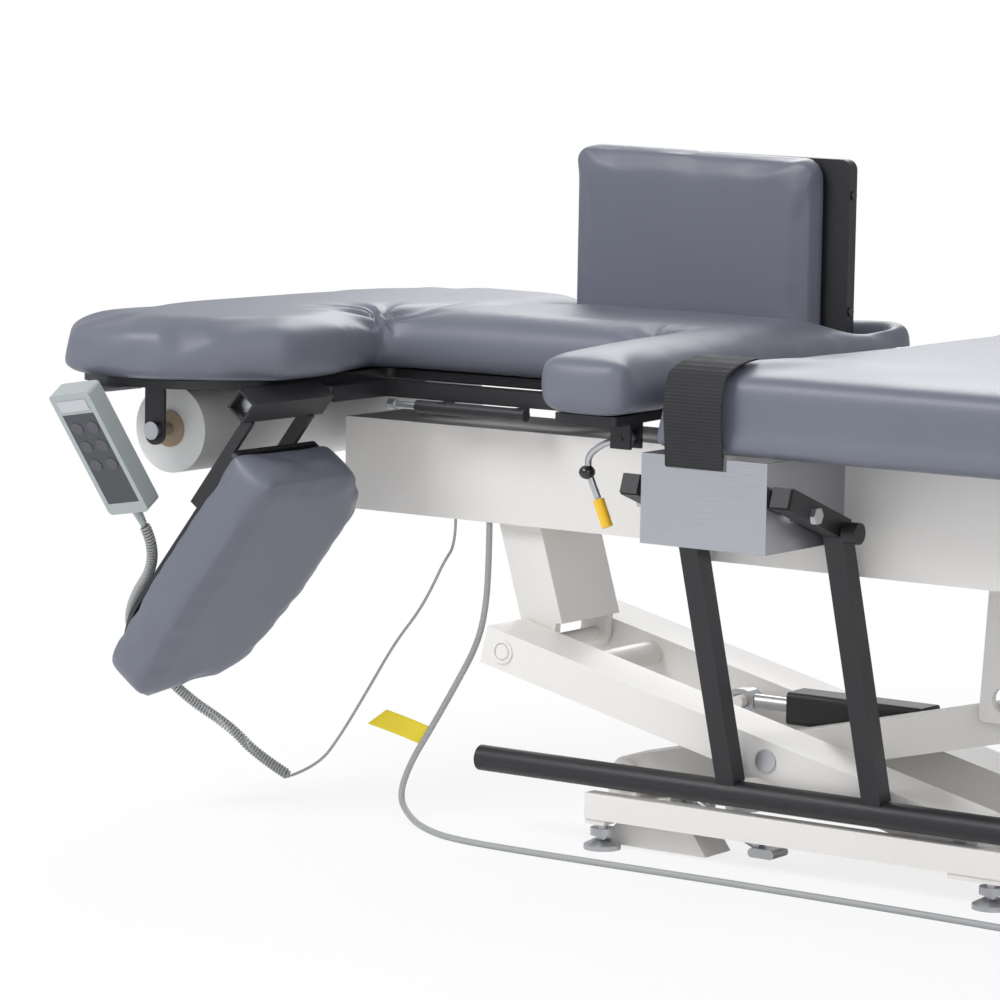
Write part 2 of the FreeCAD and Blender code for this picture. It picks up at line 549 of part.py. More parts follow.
LEAF = [(-494, -350, 20), (-300, -356, 150), (-160, -338, 38), (-187, -160, 60), (-300, -127, 120), (-440, -127, 60),
        (-494, -180, 30)]
leaf = slab(LEAF, head_low, head_low + size("leaf_thick"))
keep("leaf_cushion", dropped(leaf))
leaf_board = slab([(-484, -335, 10), (-250, -338, 60), (-190, -310, 40), (-215, -165, 40), (-300, -142, 60),
                   (-430, -144, 30), (-484, -190, 15)], head_low - 6, head_low - 0.3)
leaf_board = dropped(leaf_board)
hinge_tube = block(AXIS.x - 13, AXIS.x + 13, -345, -205, AXIS.z - 13, AXIS.z + 13)
hinge_tube = hinge_tube.cut(block(AXIS.x - 10.5, AXIS.x + 10.5, -330, -215, AXIS.z - 10.5, AXIS.z + 10.5))
hinge_tube = hinge_tube.cut(block(AXIS.x - 10.5, AXIS.x + 10.5, -346, -335, AXIS.z - 10.5, AXIS.z + 10.5))
hinge_tube = hinge_tube.cut(disc(AXIS, 8.05, -336, -200))
leaf_arms = [hinge_tube]
for y0, y1, depth in ((-333, -327, 12), (-229, -223, 16)):
    leaf_arms.append(block(AXIS.x + 12, -400, y0, y1, head_low - 6.3 - depth, head_low - 6.3))
keep("leaf_frame", [dropped(join(leaf_arms)), leaf_board])
keep("leaf_shaft", join([disc(AXIS, 8, -333, -201), block(AXIS.x - 12, AXIS.x + 12, -204.7, -201, rail_low, rail_top)]))
stay_y, stay_z = -114, 455
stay_case = Part.makeCylinder(7, 146, Vector(-324, stay_y, stay_z), Vector(-1, 0, 0))
stay_case = stay_case.cut(Part.makeCylinder(4.3, 130, Vector(-471, stay_y, stay_z), Vector(1, 0, 0)))
stay_lugs = [block(x, x + 10, stay_y - 5, -rail_out + 6, stay_z, rail_low) for x in (-340, -440)]
keep("stay_case", join([stay_case] + [lug.cut(Part.makeCylinder(5, 200, Vector(-480, stay_y, stay_z), Vector(1, 0, 0)))
                                      for lug in stay_lugs]))
keep("stay_rod", join([Part.makeCylinder(4, 130, Vector(-500, stay_y, stay_z), Vector(1, 0, 0)),
                       Part.makeCylinder(6, 9, Vector(-508, stay_y, stay_z), Vector(1, 0, 0))]))

# Upright pad on two guide rods behind the far rail.
p0, p1 = size("pad_start"), size("pad_start") + size("pad_width")
f0 = size("pad_front")
pad_low, pad_top = size("pad_low"), size("pad_top")
pad = slab([(p0, pad_low, 14), (p1, pad_low, 14), (p1, pad_top - 6, 22), (p0, pad_top, 22)],
           f0, f0 + 30, "XZ")
keep("pad_cushion", pad)
shell = slab([(p0 + 4, pad_low + 4, 10), (p1 + 30, pad_low + 4, 10), (p1 + 30, pad_top - 8, 12),
              (p0 + 4, pad_top - 4, 12)], f0 + 30.3, f0 + 46, "XZ")
keep("pad_shell", shell)
rods = []
for x in (-400, -200):
    rods.append(join([Part.makeCylinder(6, pad_top - 448, Vector(x, 278, 430)),
                      block(x - 12, x + 12, f0 + 46, 284, pad_top - 32, pad_top - 22)]))
clamp_at = Vector(-512, 278, rail_low + 9)
keep("pad_clamp_knob", Part.makeCylinder(4, 14, clamp_at - Vector(14, 0, 0), Vector(1, 0, 0)).fuse(
    Part.makeCylinder(11, 12, clamp_at - Vector(26, 0, 0), Vector(1, 0, 0))))
screws = [Part.makeCylinder(5, 2, Vector(p1 + 30, f0 + 38, z), Vector(1, 0, 0)) for z in (pad_low + 63, pad_top - 48)]
keep("pad_rods", rods + screws)

# Paper roll on a shaft between two strap brackets.
ROLL = Vector(size("roll_x"), 0, size("roll_z"))
straps = []
for y0, y1 in ((-294, -290), (272, 276)):
    high = board_low
    outline = [(ROLL.x - 13.5, ROLL.z - 16, 13), (ROLL.x + 13.5, ROLL.z - 16, 13), (ROLL.x + 13.5, high),
               (ROLL.x - 13.5, high)]
    strap_plate = slab(outline, y0, y1, "XZ")
    foot_y = (y0, y0 + 30) if y0 < 0 else (150, y1)
    strap_plate = strap_plate.fuse(block(ROLL.x - 13.5, ROLL.x + 13.5, foot_y[0], foot_y[1], high - 4, high))
    straps.append(strap_plate.cut(disc(ROLL, 7, y0 - 1, y1 + 1)).removeSplitter())
keep("roll_brackets", straps)
keep("roll_shaft", join([disc(ROLL, 7, -297, 279), disc(ROLL, 10, -300, -294.3), disc(ROLL, 10, 276.3, 281)]))
roll_half = size("roll_half")
core = disc(ROLL, size("roll_core"), -roll_half, roll_half - 4).cut(disc(ROLL, 7.08, -300, 300))
keep("paper_core", core)
paper = disc(ROLL, size("roll_radius"), -roll_half + 4, roll_half - 8)
keep("paper_roll", paper.cut(disc(ROLL, size("roll_core"), -300, 300)))

# Handset: built flat in its own frame, then hung at a lean from the hook.
WIDE = Vector(0.987, 0, 0.16).normalize()
UP = Vector(-0.1385, -0.502, 0.854).normalize()
UP = (UP - WIDE * UP.dot(WIDE)).normalize()
DEEP = UP.cross(WIDE)
hung = FreeCAD.Matrix(WIDE.x, DEEP.x, UP.x, -732, WIDE.y, DEEP.y, UP.y, -430,
                      WIDE.z, DEEP.z, UP.z, 469, 0, 0, 0, 1)


def hang(shape):
    return shape.transformed(hung, True)


w, l, d = size("hand_wide"), size("hand_long"), size("hand_deep")
case = block(0, w, 0, d, -l, 0)
case = case.makeFillet(5, [e for e in case.Edges if abs(e.tangentAt(e.FirstParameter).y) > 0.99])
case = case.cut(block(6, w - 6, -1, 0.8, -l + 14, -26))
buttons = []
for line in range(3):
    for column in range(2):
        at = Vector(w / 2 + (column - 0.5) * 22, 0, -44 - line * 24)
        case = case.cut(Part.makeCylinder(7.6, 4, Vector(at.x, 0, at.z), Vector(0, 1, 0)))
        buttons.append(Part.makeCylinder(7.5, 3.4, Vector(at.x, -0.6, at.z), Vector(0, 1, 0)))
relief = Part.makeCone(4, 6, 22, Vector(w / 2, d / 2, -l - 22))
keep("handset_case", hang(join([case, relief])))
face = block(6.1, w - 6.1, 0.2, 0.75, -l + 14.1, -26.1)
for button in buttons:
    hole = Part.makeCylinder(7.6, 6, Vector(button.BoundBox.Center.x, -2, button.BoundBox.Center.z), Vector(0, 1, 0))
    face = face.cut(hole)
keep("handset_face", hang(face))
keep("handset_badge_plate", hang(block(8, w - 8, -0.8, 0, -22, -8)))
for i, button in enumerate(buttons):
    keep("handset_button_%d" % (i + 1), hang(button))
hook = join([hang(block(10, w - 10, d + 0.3, d + 2.3, -34, -9)),
             block(-738, -676, -398, -340, board_low - 3, board_low)])
keep("handset_hook", hook)

# Release lever of the head section, on a clevis under the board.
LEVER = Vector(-78, 0, 462)
clevis = join([block(-90, -66, -302, -278, board_low - 4, board_low),
               block(-90, -66, -302, -298, 452, board_low), block(-90, -66, -282, -278, 452, board_low),
               disc(LEVER, 3, -303, -277)])
keep("lever_clevis", clevis)
lever = tube_along([(-78, -290, 462), (-106, -290, 455), (-126, -290, 440), (-121, -290, 418),
                    (-111, -290, 398)], 3.5)
hub = disc(LEVER, 8, -296, -284)
lever = lever.fuse(hub).cut(disc(LEVER, 3.05, -310, -270))
keep("release_lever", lever)
grip = Part.makeCylinder(6, 30, Vector(-110.6, -290, 396.9), Vector(0.39, 0, -0.92))
keep("lever_grip", grip)

# Cords: the handset's curled part, its plain part up to the neck, and the mains lead on the floor.
relief_end = hung.multVec(Vector(w / 2, d / 2, -l - 22.1))
relief_run = hung.multVec(Vector(w / 2, d / 2, -l - 66))
curl = tube_along([tuple(relief_end), tuple(relief_run), (-742, -280, 226), (-770, -240, 180),
                   (-748, -180, 112), (-710, -135, 72), (-683, -125, 43), (-637, -120, 22)],
                  size("curl_radius"))
keep("handset_curl", curl)
thin = tube_along([(-634.6, -119.7, 23), (-600, -115, 38), (-571, -112, 76), (-535, -110, 132),
                   (-501, -108, 187), (-469.5, -106, 225.6), (-453, -102, 257), (-444, -96, 282),
                   (-450, -66, 298), (-450, -66, 328)], size("thin_radius"))
keep("handset_cord", thin)
lead_points = [(-404, -66, 328), (-404, -66, 284), (-399, -77, 234), (-402, -88, 193), (-423, -104, 142),
               (-442, -115, 101), (-466, -125, 56), (-470, -138, 20), (-440, -156, 3.6),
               (-393, -194, 3.6), (-340, -220, 3.6), (-240, -226, 3.6), (0, -222, 3.6), (250, -226, 3.6),
               (440, -238, 3.6), (500, -238, 3.6)]
COIL = Vector(520, -200, 3.8)
for i in range(33):
    swing = math.radians(45 * i - 67.5)
    lead_points.append((COIL.x + 41 * math.cos(swing), COIL.y + 41 * math.sin(swing), COIL.z + i * 7.6 / 8))
lead_points += [(COIL.x + 60, -222, 30), (COIL.x + 90, -216, 15), (COIL.x + 125, -214, 14)]
keep("mains_lead", tube_along(lead_points, size("lead_radius")))
plug_x = COIL.x + 131
plug = block(plug_x, plug_x + 42, -234, -194, 0.2, 28)
plug = plug.makeFillet(5, [e for e in plug.Edges if abs(e.tangentAt(e.FirstParameter).x) > 0.99])
pins = [block(plug_x + 42, plug_x + 59, -222, -216, 8, 10), block(plug_x + 42, plug_x + 59, -212, -206, 8, 10),
        block(plug_x + 42, plug_x + 62, -216, -212, 18, 22)]
collar = Part.makeCylinder(6, 7, Vector(plug_x - 6, -214, 14), Vector(1, 0, 0))
collar = collar.cut(Part.makeCylinder(3.55, 6, Vector(plug_x - 6.1, -214, 14), Vector(1, 0, 0)))
keep("mains_plug", join([plug, collar] + pins))
doc.recompute()

os.makedirs("parts", exist_ok=True)
problems = []
for obj in nodes:
    flaws = [s for s in obj.State if s in ("Invalid", "Error")]
    if flaws or obj.Shape.isNull() or not obj.Shape.isValid():
        problems.append(obj.Label)
if problems:
    raise RuntimeError("not a good shape: " + ", ".join(problems))
# The table is drawn about its lift; its parts leave with the origin on the floor under their middle.
to_frame = Vector(-size("frame_x"), -size("frame_y"), 0)
for obj in nodes:
    moved = obj.Shape.copy()
    moved.translate(to_frame)
    moved.exportStep("parts/%s.step" % obj.Label)
print("nodes", len(nodes))
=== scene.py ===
import json
import math

import bmesh
import bpy
from mathutils import Matrix, Vector


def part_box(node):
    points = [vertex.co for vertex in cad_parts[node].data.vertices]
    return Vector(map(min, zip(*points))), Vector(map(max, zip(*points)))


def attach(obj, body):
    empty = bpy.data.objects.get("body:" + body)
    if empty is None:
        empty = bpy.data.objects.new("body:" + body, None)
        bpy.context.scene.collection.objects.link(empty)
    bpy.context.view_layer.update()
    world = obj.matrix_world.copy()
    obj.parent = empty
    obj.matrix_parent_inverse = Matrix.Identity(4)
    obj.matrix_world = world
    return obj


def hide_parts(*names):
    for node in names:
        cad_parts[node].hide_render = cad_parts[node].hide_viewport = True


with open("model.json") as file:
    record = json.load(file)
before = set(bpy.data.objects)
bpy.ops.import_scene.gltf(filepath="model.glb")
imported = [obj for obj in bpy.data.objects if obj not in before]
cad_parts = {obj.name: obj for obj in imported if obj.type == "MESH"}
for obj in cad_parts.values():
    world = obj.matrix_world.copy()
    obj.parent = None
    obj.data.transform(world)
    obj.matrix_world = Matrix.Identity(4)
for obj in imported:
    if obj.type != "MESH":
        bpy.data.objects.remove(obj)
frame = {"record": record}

bl_info = {
    "name": "Examination table",
    "version": (1, 0, 0),
    "blender": (4, 5, 0),
    "location": "View3D > Sidebar > Exam table",
    "description": "Cushions, cords, finishes and studio of a wide examination table",
    "category": "Add Mesh",
}

# The photograph was measured from under the lift's centre pivot; the model's origin is under the table's middle.
TO_MODEL = Vector((-0.181, 0.040, 0.0))


def here(*points):
    """Points of the measured frame in the model's frame."""
    return [tuple(Vector(point) + TO_MODEL) for point in points]


# Routes of the cords, in metres, with the same points as the model's own tubes.
CURL_ROUTE = here(
    (-0.742, -0.280, 0.226), (-0.770, -0.240, 0.180), (-0.748, -0.180, 0.112),
    (-0.710, -0.135, 0.072), (-0.683, -0.125, 0.043), (-0.637, -0.120, 0.022),
)
PLAIN_ROUTE = here(
    (-0.6346, -0.1197, 0.023), (-0.600, -0.115, 0.038), (-0.571, -0.112, 0.076), (-0.535, -0.110, 0.132),
    (-0.501, -0.108, 0.187), (-0.4695, -0.106, 0.2256), (-0.453, -0.102, 0.257), (-0.444, -0.096, 0.282),
    (-0.450, -0.066, 0.298), (-0.450, -0.066, 0.328),
)
LEAD_REST = 0.0036  # height of the lead's centreline on the floor
COIL = Vector((0.520, -0.200, 0.0038))
COIL_RADIUS = 0.041
COIL_RISE = 0.0076  # of each turn
COIL_TURNS = 4
COIL_POINTS = 8  # of each turn
COIL_START = -67.5  # degrees


def coil_point(index):
    """Control point of the coil that the mains lead ends in."""
    angle = math.radians(index * 360 / COIL_POINTS + COIL_START)
    return (COIL.x + COIL_RADIUS * math.cos(angle), COIL.y + COIL_RADIUS * math.sin(angle),
            COIL.z + index * COIL_RISE / COIL_POINTS)


LEAD_ROUTE = here(
    (-0.404, -0.066, 0.328), (-0.404, -0.066, 0.284), (-0.399, -0.077, 0.234), (-0.402, -0.088, 0.193),
    (-0.423, -0.104, 0.142), (-0.442, -0.115, 0.101), (-0.466, -0.125, 0.056), (-0.470, -0.138, 0.020),
    (-0.440, -0.156, LEAD_REST), (-0.393, -0.194, LEAD_REST), (-0.340, -0.220, LEAD_REST),
    (-0.240, -0.226, LEAD_REST), (0.0, -0.222, LEAD_REST), (0.250, -0.226, LEAD_REST),
    (0.440, -0.238, LEAD_REST), (0.500, -0.238, LEAD_REST),
    *[coil_point(i) for i in range(COIL_TURNS * COIL_POINTS + 1)],
    (COIL.x + 0.060, -0.222, 0.030), (COIL.x + 0.090, -0.216, 0.015), (COIL.x + 0.125, -0.214, 0.014),
)

# The curled cord leaves the handset along the handset's own long axis.
CURL_AXIS = Vector((-0.1385, -0.502, 0.854)).normalized()
CURL_STRAIGHT = 0.0439  # length of its straight start
CURL_END_REACH = 0.0145  # further than this from the top vertex, a vertex isn't on the cord's upper end
WIRE_SHARE = 0.24  # wire's thickness as a share of the curl's outside
TURN_POINTS = 10  # control points in one turn of the curl
EASE_POINTS = 12  # control points over which the first and last turns close onto the centreline

TAG_CORNERS = here(
    (-0.511, -0.110, 0.111), (-0.534, -0.112, 0.093), (-0.4605, -0.1125, 0.0775), (-0.4465, -0.1105, 0.0985)
)
TAG_LENGTH = 0.0875
TAG_BOW = 0.003

LEVER_BEND = here((-0.124, -0.292, 0.424))[0]
BALL_RADIUS = 0.0085
BALL_FLATNESS = 0.86

# Side view of the strap, as y in the measured frame and z, from its loose end to the middle of the cushion's top.
STRAP_PROFILE = (
    (-0.3515, 0.446), (-0.3530, 0.470), (-0.3575, 0.500), (-0.3565, 0.522),
    (-0.3480, 0.539), (-0.3300, 0.5485), (-0.3000, 0.5525), (-0.2900, 0.5530),
)
STRAP_CELLS = 6  # across its width

# Where a cushion lies against its board, and so doesn't swell.
SEAT_HELD = 0.475
HEAD_HELD = 0.500
PAD_HELD = 0.006  # in front of the pad's back
HEAD_TOP = 0.548
NOTCH_CORNERS = here((-0.548, -0.078, 0.0), (-0.188, -0.075, 0.0))
SWELL_FRAMES = 20

CAMERA_PLACE = here((2.311, -3.924, 0.919))[0]
CAMERA_LENS = 154.8
SENSOR = 36.0

# Name, place and aim in the measured frame, size, and share of the key light's strength.
LAMPS = (
    ("key", (-1.4, -2.6, 3.0), (0, 0, 0.4), 1.6, 1.0),
    ("fill", (2.8, -2.4, 1.6), (0, 0, 0.3), 2.2, 0.35),
    ("rim", (-1.6, 2.6, 2.2), (0, 0, 0.5), 1.6, 0.5),
)
FLOOR_FADE = (0.7, 2.4)  # distances from the middle over which the floor turns to plain white
FLOOR_GLOW = 0.80  # share of plain white near the middle


class UpholsterySizes(bpy.types.PropertyGroup):
    """Sizes and colours of the padded pieces."""

    puff: bpy.props.FloatProperty(name="Puff", description="Air pressure that swells a cushion", default=4.0, min=0.0)
    swell: bpy.props.FloatProperty(
        name="Swell", description="Furthest that padding may move", default=0.009, unit="LENGTH"
    )
    mesh_step: bpy.props.FloatProperty(
        name="Mesh step", description="Edge length of the padded meshes", default=0.008, unit="LENGTH"
    )
    vinyl: bpy.props.FloatVectorProperty(
        name="Vinyl", description="Colour of the covers", subtype="COLOR", size=3, default=(0.150, 0.160, 0.200)
    )


class CordSizes(bpy.types.PropertyGroup):
    """Sizes of the cords."""

    lead: bpy.props.FloatProperty(name="Lead", description="Mains lead diameter", default=0.007, unit="LENGTH")
    plain: bpy.props.FloatProperty(name="Plain", description="Plain cord diameter", default=0.0032, unit="LENGTH")
    curl: bpy.props.FloatProperty(name="Curl", description="Outside of the curled cord", default=0.013, unit="LENGTH")
    turns: bpy.props.IntProperty(name="Turns", description="Turns in the curled cord", default=120, min=10)


class StudioSizes(bpy.types.PropertyGroup):
    """Light and floor of the studio."""

    floor: bpy.props.FloatProperty(name="Floor", description="Width of the floor", default=14.0, unit="LENGTH")
    key: bpy.props.FloatProperty(name="Key", description="Strength of the key light", default=75.0)


# ---- surface detail shared between finishes ----


def detail_group(name, build):
    """Node group with Vector and Scale in, Height and Tone out."""
    if name in bpy.data.node_groups:
        return bpy.data.node_groups[name]
    group = bpy.data.node_groups.new(name, "ShaderNodeTree")
    face = group.interface
    face.new_socket("Vector", in_out="INPUT", socket_type="NodeSocketVector")
    face.new_socket("Scale", in_out="INPUT", socket_type="NodeSocketFloat")
    face.new_socket("Height", in_out="OUTPUT", socket_type="NodeSocketFloat")
    face.new_socket("Tone", in_out="OUTPUT", socket_type="NodeSocketFloat")
    enter = group.nodes.new("NodeGroupInput")
    leave = group.nodes.new("NodeGroupOutput")
    height, tone = build(group, enter)
    group.links.new(height, leave.inputs["Height"])
    group.links.new(tone, leave.inputs["Tone"])
    return group


def noise(group, vector, scale, detail=3.0, factor=1.0, scale_from=None):
    """Noise of a fixed scale, or of a scale that follows another socket."""
    node = group.nodes.new("ShaderNodeTexNoise")
    node.inputs["Scale"].default_value = scale
    node.inputs["Detail"].default_value = detail
    if scale_from is not None:
        times = group.nodes.new("ShaderNodeMath")
        times.operation = "MULTIPLY"
        times.inputs[1].default_value = factor
        group.links.new(scale_from, times.inputs[0])
        group.links.new(times.outputs[0], node.inputs["Scale"])
    group.links.new(vector, node.inputs["Vector"])
    return node.outputs["Fac"]


def combine(group, first, second, operation="ADD"):
    """One maths node on two sockets."""
    node = group.nodes.new("ShaderNodeMath")
    node.operation = operation
    group.links.new(first, node.inputs[0])
    group.links.new(second, node.inputs[1])
    return node.outputs[0]


def leather_grain(group, enter):
    cells = group.nodes.new("ShaderNodeTexVoronoi")
    cells.feature = "SMOOTH_F1"
    group.links.new(enter.outputs["Vector"], cells.inputs["Vector"])
    group.links.new(enter.outputs["Scale"], cells.inputs["Scale"])
    fine = noise(group, enter.outputs["Vector"], 900, 4, 1.7, enter.outputs["Scale"])
    return combine(group, cells.outputs["Distance"], fine), noise(group, enter.outputs["Vector"], 7.0, 4)


def powder_coat(group, enter):
    peel = noise(group, enter.outputs["Vector"], 500, 2, 1.0, enter.outputs["Scale"])
    return peel, noise(group, enter.outputs["Vector"], 9.0, 5)


def brushed_lines(group, enter):
    stretch = group.nodes.new("ShaderNodeMapping")
    stretch.inputs["Scale"].default_value = (0.04, 1.0, 1.0)
    group.links.new(enter.outputs["Vector"], stretch.inputs["Vector"])
    lines = noise(group, stretch.outputs["Vector"], 800, 4, 1.0, enter.outputs["Scale"])
    return lines, combine(group, lines, noise(group, enter.outputs["Vector"], 12.0, 4), "MULTIPLY")


def webbing_weave(group, enter):
    waves = []
    for direction in ("X", "Z"):
        wave = group.nodes.new("ShaderNodeTexWave")
        wave.bands_direction = direction
        wave.inputs["Distortion"].default_value = 0.4
        group.links.new(enter.outputs["Vector"], wave.inputs["Vector"])
        group.links.new(enter.outputs["Scale"], wave.inputs["Scale"])
        waves.append(wave.outputs["Fac"])
    return combine(group, waves[0], waves[1]), noise(group, enter.outputs["Vector"], 60.0, 3)


def paper_fibre(group, enter):
    fibre = noise(group, enter.outputs["Vector"], 300, 6, 1.0, enter.outputs["Scale"])
    return fibre, noise(group, enter.outputs["Vector"], 18.0, 4)


BUILDERS = {
    "Leather grain": leather_grain,
    "Powder coat": powder_coat,
    "Brushed lines": brushed_lines,
    "Webbing weave": webbing_weave,
    "Paper fibre": paper_fibre,
}


def finish(name, colour, roughness, detail, scale, bump, metallic=0.0, darker=0.82, coat=0.0, spread=0.12):
    """Material from a plain colour and one of the shared surface details."""
    mat = bpy.data.materials.new(name)
    mat.use_nodes = True
    tree = mat.node_tree
    shader = tree.nodes["Principled BSDF"]
    shader.inputs["Metallic"].default_value = metallic
    shader.inputs["Coat Weight"].default_value = coat
    shader.inputs["Coat Roughness"].default_value = 0.25
    place = tree.nodes.new("ShaderNodeTexCoord")
    group = tree.nodes.new("ShaderNodeGroup")
    group.node_tree = detail_group(detail, BUILDERS[detail])
    group.inputs["Scale"].default_value = scale
    tree.links.new(place.outputs["Object"], group.inputs["Vector"])
    mix = tree.nodes.new("ShaderNodeMix")
    mix.data_type = "RGBA"
    mix.inputs["A"].default_value = (*[c * darker for c in colour], 1)
    mix.inputs["B"].default_value = (*colour, 1)
    tree.links.new(group.outputs["Tone"], mix.inputs["Factor"])
    tree.links.new(mix.outputs["Result"], shader.inputs["Base Color"])
    ease = tree.nodes.new("ShaderNodeMapRange")
    ease.inputs["To Min"].default_value = max(0.03, roughness - spread)
    ease.inputs["To Max"].default_value = min(1.0, roughness + spread)
    tree.links.new(group.outputs["Tone"], ease.inputs["Value"])
    tree.links.new(ease.outputs["Result"], shader.inputs["Roughness"])
    relief = tree.nodes.new("ShaderNodeBump")
    relief.inputs["Strength"].default_value = bump
    relief.inputs["Distance"].default_value = 0.0006
    tree.links.new(group.outputs["Height"], relief.inputs["Height"])
    tree.links.new(relief.outputs["Normal"], shader.inputs["Normal"])
    return mat


def dress(obj, mat):
    """Give an object one material."""
    obj.data.materials.clear()
    obj.data.materials.append(mat)


# ---- modelling helpers ----


def only(obj):
    """Make one object the active and only selected one."""
    if bpy.context.object and bpy.context.object.mode != "OBJECT":
        bpy.ops.object.mode_set(mode="OBJECT")
    bpy.ops.object.select_all(action="DESELECT")
    obj.select_set(True)
    bpy.context.view_layer.objects.active = obj


def settle(obj):
    """Move an object's place into its mesh."""
    only(obj)
    bpy.ops.object.transform_apply(location=True, rotation=True, scale=True)


def apply_modifier(obj, kind, **values):
    """Add a modifier with these values and apply it."""
    only(obj)
    modifier = obj.modifiers.new(kind.title(), kind)
    for key, value in values.items():
        setattr(modifier, key, value)
    bpy.ops.object.modifier_apply(modifier=modifier.name)


def copy_of(node, name):
    """New object with a merged copy of a model node's mesh."""
    obj = bpy.data.objects.new(name, bpy.data.objects[node].data.copy())
    bpy.context.scene.collection.objects.link(obj)
    only(obj)
    bpy.ops.object.mode_set(mode="EDIT")
    bpy.ops.mesh.select_all(action="SELECT")
    bpy.ops.mesh.remove_doubles(threshold=0.00005)
    bpy.ops.object.mode_set(mode="OBJECT")
    obj.data.materials.clear()
    return obj


def padded_copy(node, name, step, held, swell, soften=6, calm=8):
    """Swollen cushion from a model node: remeshed, blown up by cloth pressure and smoothed.

    held is a test of a vertex's place that says where the cushion rests on its board.
    """
    sizes = bpy.context.scene.upholstery_sizes
    obj = copy_of(node, name)
    apply_modifier(obj, "REMESH", mode="VOXEL", voxel_size=step, use_smooth_shade=True)
    apply_modifier(obj, "SMOOTH", factor=0.5, iterations=soften)
    start = [v.co.copy() for v in obj.data.vertices]
    pins = obj.vertex_groups.new(name="held")
    pins.add([v.index for v in obj.data.vertices if held(v.co)], 1.0, "REPLACE")
    only(obj)
    cloth = obj.modifiers.new("Cloth", "CLOTH")
    cloth.settings.use_pressure = True
    cloth.settings.uniform_pressure_force = sizes.puff
    cloth.settings.vertex_group_mass = "held"
    cloth.settings.effector_weights.gravity = 0.0
    cloth.settings.tension_stiffness = 30
    cloth.settings.compression_stiffness = 30
    cloth.settings.quality = 4
    cloth.point_cache.frame_start = 1
    cloth.point_cache.frame_end = SWELL_FRAMES
    for number in range(1, SWELL_FRAMES + 1):
        bpy.context.scene.frame_set(number)
    swollen = obj.evaluated_get(bpy.context.evaluated_depsgraph_get())
    ends = [v.co.copy() for v in swollen.data.vertices]
    obj.modifiers.remove(cloth)
    bpy.context.scene.frame_set(1)
    for vertex, first, last in zip(obj.data.vertices, start, ends):
        move = last - first
        if move.length > swell:
            move = move.normalized() * swell
        vertex.co = first + move
    apply_modifier(obj, "SMOOTH", factor=0.5, iterations=calm)
    apply_modifier(obj, "SUBSURF", levels=1, render_levels=1)
    only(obj)
    bpy.ops.object.shade_smooth()
    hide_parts(node)
    return obj


def pleat(obj, corner, reach, depth, folds, low, high):
    """Short gathered folds that fan out from an inner corner of a cushion."""
    for vertex in obj.data.vertices:
        away = Vector((vertex.co.x - corner[0], vertex.co.y - corner[1], 0))
        distance = away.length
        if distance > reach or not low < vertex.co.z:
            continue
        angle = math.atan2(away.y, away.x)
        fade = (1 - distance / reach) ** 1.5
        fold = 0.5 + 0.5 * math.cos(folds * angle)
        vertex.co.z -= depth * fade * fold * min(1, (vertex.co.z - low) / (high - low))


def curve_cord(name, route, diameter):
    """Round cord on one smooth spline through the route's control points."""
    data = bpy.data.curves.new(name, "CURVE")
    data.dimensions = "3D"
    spline = data.splines.new("NURBS")
    spline.points.add(len(route) - 1)
    for point, place in zip(spline.points, route):
        point.co = (*place, 1)
    spline.order_u = 3
    spline.use_endpoint_u = True
    spline.resolution_u = 12
    data.bevel_depth = diameter / 2
    data.bevel_resolution = 4
    data.use_fill_caps = True
    obj = bpy.data.objects.new(name, data)
    bpy.context.scene.collection.objects.link(obj)
    return obj


def line_of(obj):
    """Points along a cord's own spline."""
    bevel = obj.data.bevel_depth
    obj.data.bevel_depth = 0
    bpy.context.view_layer.update()
    shadow = obj.evaluated_get(bpy.context.evaluated_depsgraph_get())
    mesh = bpy.data.meshes.new_from_object(shadow)
    points = [v.co.copy() for v in mesh.vertices]
    bpy.data.meshes.remove(mesh)
    obj.data.bevel_depth = bevel
    return points


def tube_of(cord, name):
    """A curve's own round tube as a mesh."""
    only(cord)
    bpy.ops.object.convert(target="MESH")
    tube = bpy.context.object
    tube.name = name
    bpy.ops.object.shade_smooth()
    return tube


def length_of(points):
    """Length of a line through the points."""
    return sum((b - a).length for a, b in zip(points, points[1:]))


# ---- operators ----


